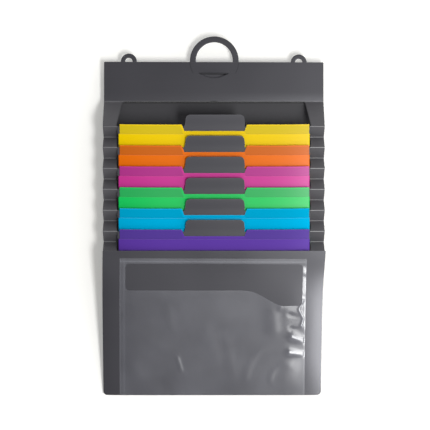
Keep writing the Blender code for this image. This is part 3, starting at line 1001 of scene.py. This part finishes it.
def divider_grids(order):
    """Body, ears and tab of one divider, all on the same bowed and leaning sheet."""
    def on_sheet(x, up, pale):
        bow = pocket_bow(np.minimum(np.abs(x), POCKET_HALF))
        return surface(*hung(x, up, POCKET_SHEET / 2 + bow, order), pale)

    ear_rows = body_rows[body_rows >= -EAR_HEIGHT][:, None]
    ear_columns = along([POCKET_HALF, EAR_HALF - EDGE, EAR_HALF], [2, 1])[None, :]
    ear_stay = POCKET_SLIP * (ear_columns - POCKET_HALF) / (EAR_HALF - POCKET_HALF)
    body_up = body_rows[:, None]
    edge_up = CUT_PALE * near(-body_up, EDGE) * (np.abs(body_columns) > TAB_HALF)
    grids = [on_sheet(body_columns[None, :], body_up, edge_up)]
    grids.append(on_sheet(ear_columns - ear_stay, ear_rows, 0.0))
    grids.append(on_sheet((-ear_columns - ear_stay)[:, ::-1], ear_rows, 0.0))
    up = tab_rows[:, None]
    tab_x = tab_columns[None, :] * tab_half[:, None] / TAB_HALF
    from_edge = np.minimum(TAB_TOP - up, tab_half[:, None] - np.abs(tab_x))
    tab_lean = TAB_LEAN * ease(up / TAB_TOP) * (1 + 0.2 * math.sin(2.1 * order + 0.4))
    tab_ahead = POCKET_SHEET / 2 + pocket_bow(tab_x) + tab_lean
    x, y, z = hung(tab_x + TAB_SLIP * ease(up / 6), up, tab_ahead, order)
    grids.append(surface(x, y, z, CUT_PALE * near(from_edge, 0.6) * (up > 0.1)))
    return grids


bodies = ["file_back"] + [colour + "_pocket" for colour in list(POCKET_COLOURS)[1:]]
for order, colour in enumerate(POCKET_COLOURS):
    cut_sheet(colour + "_divider_tab", divider_grids(order), POCKET_SHEET, "divider", bodies[order])

# %% [markdown]
# ## Coloured pockets
#
# A pocket is a back sheet with a notch for the tab, and a front sheet that is folded round the
# sides and the foot like a tray.  The back sheet's grid is straight below and its last rows
# follow the notched edge.  It is painted a duller, darker copy of its colour, except along a narrow
# border and under the tab: painted shade, for the back sheet lying recessed behind the front one.
# The likely reason is that it is thin and the grey divider behind it shows through.

# %% Pocket back sheets
NOTCH_FLARE = 4.2
NOTCH_BOTTOM = -7.0
POCKET_TOP = 3.6
BACK_AHEAD = 0.75 + POCKET_SHEET / 2
MOUTH_EDGE = 0.6
MOUTH_PALE = 0.35

back_stops = [0, TAB_HALF, TAB_HALF + NOTCH_FLARE, 57, 150, POCKET_HALF - EDGE, POCKET_HALF]
back_columns = both_sides(along(back_stops, [24, 6, 6, 44, 5, 1]))[None, :]


def back_edge(x):
    """Upper edge: the notch bottom, a straight flare up from it, and the level top."""
    flare = np.clip((np.abs(x) - TAB_HALF) / NOTCH_FLARE, 0, 1)
    return NOTCH_BOTTOM + (POCKET_TOP - NOTCH_BOTTOM) * flare


def painted_shade_part(x, up):
    """1 where shade is painted on as a duller colour: clear of the notch and of the top edge."""
    flare = TAB_HALF + NOTCH_FLARE * np.clip((up - NOTCH_BOTTOM) / (POCKET_TOP - NOTCH_BOTTOM), 0, 1)
    beside_notch = ease((np.abs(x) - flare - 0.8) / 1.6)
    return beside_notch * ease((POCKET_TOP - 1.0 - up) / 1.4)


def back_grids(order):
    """Straight rows up to 10 mm under the peak, then rows that follow the notched edge."""
    ahead = BACK_AHEAD + pocket_bow(back_columns)
    rows = along([POCKET_FOOT, POCKET_FOOT + EDGE, -40, -10], [1, 12, 8])[:, None]
    grids = [surface(*hung(back_columns, rows, ahead, order), 0.0, painted_shade_part(back_columns, rows))]
    top = back_edge(back_columns)
    share = np.linspace(0, 1, 17)[:, None]
    up = np.concatenate([-10 + (top - MOUTH_EDGE + 10) * share, top])
    x, y, z = hung(back_columns, up, ahead, order)
    grids.append(surface(x, y, z, MOUTH_PALE * near(top - up, MOUTH_EDGE), painted_shade_part(x, up)))
    return grids


for order, colour in enumerate(POCKET_COLOURS):
    cut_sheet(colour + "_pocket_back", back_grids(order), POCKET_SHEET, colour, bodies[order])

# %% [markdown]
# The front sheet's cross-section is a U: a side wall, a rounded fold, the bowed front, another
# fold, and the other wall.  Carried down the pocket it makes the tray's walls, and a second grid
# closes the foot from the front edge back to the rear.  An empty pocket closes at its mouth, so the
# front leans back there until it almost lies on the back sheet.  Scaling the whole section by the
# bow and by this lean keeps the walls welded to the front.  The tray is a little wider than the back
# sheet and shifted by half of that, so the extra width shows on the left.

# %% Pocket front sheets
FRONT_AHEAD = 6.4 + POCKET_SHEET / 2
TRAY_SHIFT = 0.6
TRAY_HALF = 154.6 + TRAY_SHIFT + POCKET_SHEET / 2
TRAY_BACK = 0.75
TRAY_FOLD = 1.8
TRAY_FOOT = POCKET_FOOT - 0.3 - POCKET_SHEET / 2
MOUTH = -12.0
MOUTH_LEAN = 5.1
LEAN_LENGTH = 85.0

wall_ahead = np.linspace(TRAY_BACK, FRONT_AHEAD - TRAY_FOLD, 6)
fold_turn = np.linspace(0, math.pi / 2, 7)[1:]
fold_x = TRAY_HALF - TRAY_FOLD * (1 - np.cos(fold_turn))
fold_ahead = FRONT_AHEAD - TRAY_FOLD * (1 - np.sin(fold_turn))
face_x = both_sides(along([0, 120, TRAY_HALF - TRAY_FOLD], [40, 26]))[1:-1]
right_x = np.concatenate([np.full(wall_ahead.size, TRAY_HALF), fold_x])
right_ahead = np.concatenate([wall_ahead, fold_ahead])
tray_x = np.concatenate([-right_x, face_x, right_x[::-1]])
tray_ahead = np.concatenate([right_ahead, np.full(face_x.size, FRONT_AHEAD), right_ahead[::-1]])
tray_rows = along([TRAY_FOOT, TRAY_FOOT + EDGE, -100, -20, MOUTH - MOUTH_EDGE, MOUTH],
                  [1, 9, 18, 5, 1])[:, None]


def tray_depth(x, ahead, up):
    """How far ahead a point of the section comes: scaled by the bow and by the lean at the mouth."""
    lean_back = MOUTH_LEAN * (1 - ease((MOUTH - up) / LEAN_LENGTH))
    return ahead * (1 + (pocket_bow(x) - lean_back) / FRONT_AHEAD)


def front_grids(order):
    """Walls and front down the pocket, and the foot that runs back from their lowest edge."""
    pale = MOUTH_PALE * near(MOUTH - tray_rows, MOUTH_EDGE)
    ahead = tray_depth(tray_x[None, :], tray_ahead[None, :], tray_rows)
    grids = [surface(*hung(tray_x[None, :] - TRAY_SHIFT, tray_rows, ahead, order), pale)]
    inner = slice(wall_ahead.size - 1, tray_x.size - wall_ahead.size + 1)
    foot_x = tray_x[inner][None, :]
    foot_front = tray_depth(foot_x, tray_ahead[inner][None, :], TRAY_FOOT)
    foot_rear = tray_depth(foot_x, TRAY_BACK, TRAY_FOOT)
    share = np.linspace(0, 1, wall_ahead.size)[:, None]
    foot_ahead = foot_rear + (foot_front - foot_rear) * share
    grids.append(surface(*hung(foot_x - TRAY_SHIFT, np.array(TRAY_FOOT), foot_ahead, order)))
    return grids


for order, colour in enumerate(POCKET_COLOURS):
    cut_sheet(colour + "_pocket_front", front_grids(order), POCKET_SHEET, colour, bodies[order])

# %% [markdown]
# ## Front cover
#
# The cover is the stiffest of the hanging sheets.  It is a little narrower at the foot, where its
# corners are round, it hangs a little askew, and it bows forward like the pockets.  Each row of its
# grid is as wide as the outline at that height, and near the foot the rows are spaced by the angle
# of the corner circle.

# %% Front cover
COVER_TOP = 3.4
COVER_FOOT = -240.6
COVER_TOP_HALF = 180.4
COVER_FOOT_HALF = 179.2
COVER_CORNER = 6.6
COVER_NOD = 0.3
COVER_FLARE = 2.2
SWAY_TOP = -0.4
SWAY_MORE = -2.3

cover_turn = np.linspace(0, math.pi / 2, 13)
cover_rows = np.concatenate([COVER_FOOT + COVER_CORNER * (1 - np.cos(cover_turn)),
                             along([-230, COVER_TOP - EDGE, COVER_TOP], [56, 1])])[:, None]
cover_share = both_sides(along([0, 0.72, 0.985, 0.997, 1], [30, 26, 3, 1]))[None, :]


def sway(up):
    """The cover hangs a little askew: it drifts to the left towards its foot and then runs straight."""
    return SWAY_TOP + SWAY_MORE * (1 - np.exp((up - COVER_TOP) / 70))


def cover_half(up):
    """Half-width of the cover: a straight taper, less what the corner circle takes off near the foot."""
    share = (up - COVER_FOOT) / (COVER_TOP - COVER_FOOT)
    taper = COVER_FOOT_HALF + (COVER_TOP_HALF - COVER_FOOT_HALF) * share
    left = np.clip(COVER_CORNER - (up - COVER_FOOT), 0, COVER_CORNER)
    return taper - COVER_CORNER + np.sqrt(COVER_CORNER ** 2 - left ** 2)


def cover_face(x, up):
    """Forward shape of the cover: its bow, a slow wave, and a top that nods back as a parabola."""
    nod = COVER_NOD * np.clip((up + 24) / 24, 0, None) ** 2
    return cover_bow(x, up) + 0.25 * np.sin(x / 70 + 1.0) * np.sin(up / 80) - nod


cover_flare = COVER_FLARE * bell(COVER_TOP - cover_rows, 48) * np.clip(cover_share, 0, 1) ** 4
cover_x = cover_share * cover_half(cover_rows)
cover_from_edge = np.minimum(np.minimum(COVER_TOP - cover_rows, cover_rows - COVER_FOOT),
                             cover_half(cover_rows) - np.abs(cover_x))
cover_ahead = BOARD / 2 + cover_face(cover_x, cover_rows)
cover_across = cover_x + sway(cover_rows) + cover_flare
cover_grid = surface(*hung(cover_across, cover_rows, cover_ahead, POCKETS),
                     CUT_PALE * near(cover_from_edge, EDGE))
cut_sheet("front_cover", [cover_grid], BOARD, "cover", "cover")

# %% [markdown]
# ## Clear film pocket
#
# The film is welded to the cover along its sides, foot and top.  A hand opening is die-cut in it,
# and its lower edge steps down in an S.  One could cut the opening with a boolean, but that
# leaves ragged triangles where the film should bend smoothly.  Here the rows of the grid follow
# the opening instead: a block over it, a block under it, and two narrow blocks beside it.

# %% Outline of the film and its opening
FILM_SHEET = 0.35
FILM_AHEAD = 1.1 + FILM_SHEET / 2
FILM_HALF = 152.2
FILM_TOP = -8.6
FILM_FOOT = -240.0
TOP_DROP = 1.3
OPEN_LEFT = -142.6
OPEN_RIGHT = 146.4
OPEN_TOP = -17.6
OPEN_LOW = -62.6
OPEN_DEEP = -88.6
STEP_FROM = 44.0
STEP_TO = 117.0
OPEN_CORNER = 6.4


def corner_bite(x):
    """How far the corner circle pulls the opening's upper or lower edge in, at both of its ends."""
    inside = np.minimum(x - OPEN_LEFT, OPEN_RIGHT - x)
    short = OPEN_CORNER - np.clip(inside, 0, OPEN_CORNER)
    return OPEN_CORNER - np.sqrt(OPEN_CORNER ** 2 - short ** 2)


def film_top(x, top=FILM_TOP):
    """Upper edge of the film, or of its opening before the corners: it drops a little to the right."""
    return top - TOP_DROP * (x + FILM_HALF) / (2 * FILM_HALF)


def open_top(x):
    """Upper edge of the opening."""
    return film_top(x, OPEN_TOP) - corner_bite(x)


def open_low(x):
    """Lower edge of the opening: level, then an S, slow at first, down to the deeper right end."""
    share = np.clip((x - STEP_FROM) / (STEP_TO - STEP_FROM), 0, 1) ** 1.3
    return OPEN_LOW + (OPEN_DEEP - OPEN_LOW) * ease(share) + corner_bite(x)


corner_steps = OPEN_CORNER * (1 - np.cos(np.linspace(0, math.pi / 2, 8)))
film_columns = np.unique(np.round(np.concatenate([
    along([-FILM_HALF, -FILM_HALF + EDGE, OPEN_LEFT], [1, 7]),
    OPEN_LEFT + corner_steps,
    along([OPEN_LEFT + OPEN_CORNER, 100, OPEN_RIGHT - OPEN_CORNER], [110, 40]),
    OPEN_RIGHT - corner_steps,
    along([OPEN_RIGHT, FILM_HALF - EDGE, FILM_HALF], [8, 1]),
]), 6))
print("film columns:", film_columns.size)

# %% [markdown]
# How the film lies is a height over the cover.  It bellies out below the opening, slopes down to
# its weld on the right, is pulled into puckers there, and has some soft folds and arcs and one sharp
# crease.  A fold is a ridge along a short line, with a bell curve across it.  A pucker is a ridge, or
# with a negative height a groove, that levels out towards the weld.  All heights are added up.

# %% Film heights
FILM_FOLDS = [
    # from (across, up), to (across, up), width, height
    ((98, -100), (100, -126), 12.0, 1.2),
    ((-57, -177), (-51, -197), 3.2, 0.75),
    ((-72, -92), (-68, -124), 8.0, 0.4),
    ((-10, -128), (6, -176), 11.0, 0.35),
    ((-132, -190), (-96, -232), 12.0, 0.5),
    ((-100, -150), (-60, -170), 10.0, 0.4),
    ((24, -150), (32, -196), 9.0, 0.3),
]
FILM_PUCKERS = [
    # crest from (across, up), to (across, up) at the weld, width, height at the start
    ((131, -141), (152, -149), 6.4, 2.9),
    ((127, -167.5), (152, -170.5), 5.6, 2.6),
    ((128, -189), (144, -196), 12.0, 0.4),
    ((112, -92), (139, -97), 6.0, 0.8),
    ((128, -104), (146, -108), 4.0, -0.9),
    ((130, -127), (150, -129), 4.0, -1.0),
]
FILM_CREASE = [(148, -79), (141.5, -95), (149, -110), (145.5, -122)]
ARC_CENTRE = (124.0, -215.0)
FILM_ARCS = [(68.0, 6.0, 0.35), (28.0, 5.0, 0.35)]
CREASE_WIDTH = 1.9
CREASE_HEIGHT = 0.8
PUCKER_FALL = 0.85
FILM_BELLY = 1.5
FILM_WAVE = 0.45
STRIP_NARROW = 1.2
STRIP_WIDER = 3.4
STRIP_SLOPE = 0.145


def ridge(x, up, start, end, width, fall=0.0):
    """Bell curve of the distance to a line from start to end, lower by the fall towards its end."""
    dx, du = end[0] - start[0], end[1] - start[1]
    share = np.clip(((x - start[0]) * dx + (up - start[1]) * du) / (dx * dx + du * du), 0, 1)
    distance = np.hypot(x - start[0] - share * dx, up - start[1] - share * du)
    return bell(distance, width) * (1 - fall * share)


def arc(x, up, radius, width):
    """Bell curve of the distance to a circle about ARC_CENTRE, kept to its upper left quarter."""
    dx, du = x - ARC_CENTRE[0], up - ARC_CENTRE[1]
    quarter = ease((12 - dx) / 20) * ease((du + 14) / 20)
    return bell(np.hypot(dx, du) - radius, width) * quarter


def crease(x, up):
    """The nearest of the ridges along the stretches of the sharp crease under the opening."""
    stretches = zip(FILM_CREASE, FILM_CREASE[1:])
    return np.max([ridge(x, up, start, end, CREASE_WIDTH) for start, end in stretches], axis=0)


def weld_strip(from_right, up):
    """Right border: a slope to the weld, wide beside the opening and narrow below, with two dents."""
    width = STRIP_NARROW + STRIP_WIDER * ease((up + 88) / 9)
    dents = 1.1 * bell(up + 38, 4) + 0.9 * bell(up + 71, 4)
    slope = STRIP_SLOPE * (1 - dents) * ease((-20 - up) / 8) * ease((up + 136) / 8)
    return slope * np.clip(from_right - 0.3, 0, width) * (1 - ease((from_right - width - 1) / 22))


def film_lift(x, up):
    """Height over the cover: belly, slow waves, right border, folds, puckers, crease and arcs."""
    from_left = x + FILM_HALF
    from_right = FILM_HALF - x
    from_foot = up - FILM_FOOT
    held = ease((from_left - 3) / 26) * ease((from_right - 1.5) / 34) * ease((from_foot - 2) / 34)
    free = held * ease((-42 - up) / 30)
    waves = np.sin(x / 29 + 0.8 * np.sin(up / 43)) * np.sin(up / 36 + 0.5)
    lift = FILM_BELLY * free + FILM_WAVE * free * waves + weld_strip(from_right, up)
    pinned = ease((from_right - 0.5) / 3) * ease((from_left - 1) / 6) * ease((from_foot - 1) / 8)
    for start, end, width, height in FILM_FOLDS:
        lift = lift + height * pinned * ridge(x, up, start, end, width)
    for start, end, width, height in FILM_PUCKERS:
        lift = lift + height * pinned * ridge(x, up, start, end, width, PUCKER_FALL)
    lift = lift + CREASE_HEIGHT * pinned * crease(x, up)
    for radius, width, height in FILM_ARCS:
        lift = lift + height * pinned * arc(x, up, radius, width)
    return lift


def weld_and_highlight_lines(x, up):
    """Pale lines: one along each weld, a second inside the left and top ones, and what is creased.

    The sharp crease is pale as well.  The crests of the first two puckers and the right border are
    made pale as a painted highlight, where the lamp's reflection lies.
    """
    from_left = x + FILM_HALF
    from_right = FILM_HALF - x
    from_top = film_top(x) - up
    left = 0.16 * bell(from_left - 0.9, 1.1) + 0.16 * bell(from_left - 7.6, 1.6)
    right = 0.22 * bell(from_right - 0.9, 1.0)
    top = 0.12 * bell(from_top - 1.9, 1.2) + 0.42 * bell(from_top - 5.4, 1.3)
    # painted highlight: the crests of the first two puckers are made pale where the lamp's reflection
    # lies
    crest_highlights = sum(0.4 * ridge(x, up, start, end, width * 0.8)
                 for start, end, width, _ in FILM_PUCKERS[:2])
    # painted highlight: the right border is made pale where the lamp's reflection lies
    strip = 0.25 * ease((-20 - up) / 8) * ease((up + 132) / 8) * ease((6.6 - from_right) / 0.8)
    return np.clip(left + right + top + crest_highlights + strip + 0.6 * crease(x, up), 0, 1)


def film_block(x, up, extra=0.0):
    """A grid of the film on the cover, at its height and with its weld lines and painted highlights."""
    x, up = np.broadcast_arrays(x, up)
    ahead = FILM_AHEAD + cover_face(x, up) + film_lift(x, up)
    pale = np.clip(weld_and_highlight_lines(x, up) + extra, 0, 1)
    return surface(*hung(x + sway(up), up, ahead, POCKETS), pale)


x = film_columns[None, :]
top, low = open_top(x), open_low(x)
share_down = np.linspace(0, 1, 13)[:, None]
film_blocks = [film_block(x, film_top(x) + (top - film_top(x)) * share_down)]
share_low = along([0, 0.004, 0.25, 1], [1, 40, 64])[:, None]
low_edge = 0.13 * near(share_low, 0.006) * (film_columns > OPEN_LEFT) * (film_columns < OPEN_RIGHT)
film_blocks.append(film_block(x, low + (FILM_FOOT - low) * share_low, low_edge))
share_side = np.linspace(0, 1, 60)[:, None]
for beside in (film_columns <= OPEN_LEFT + 1e-6, film_columns >= OPEN_RIGHT - 1e-6):
    film_blocks.append(film_block(x[:, beside], (top + (low - top) * share_side)[:, beside]))
cut_sheet("clear_pocket", film_blocks, FILM_SHEET, "film", "cover")
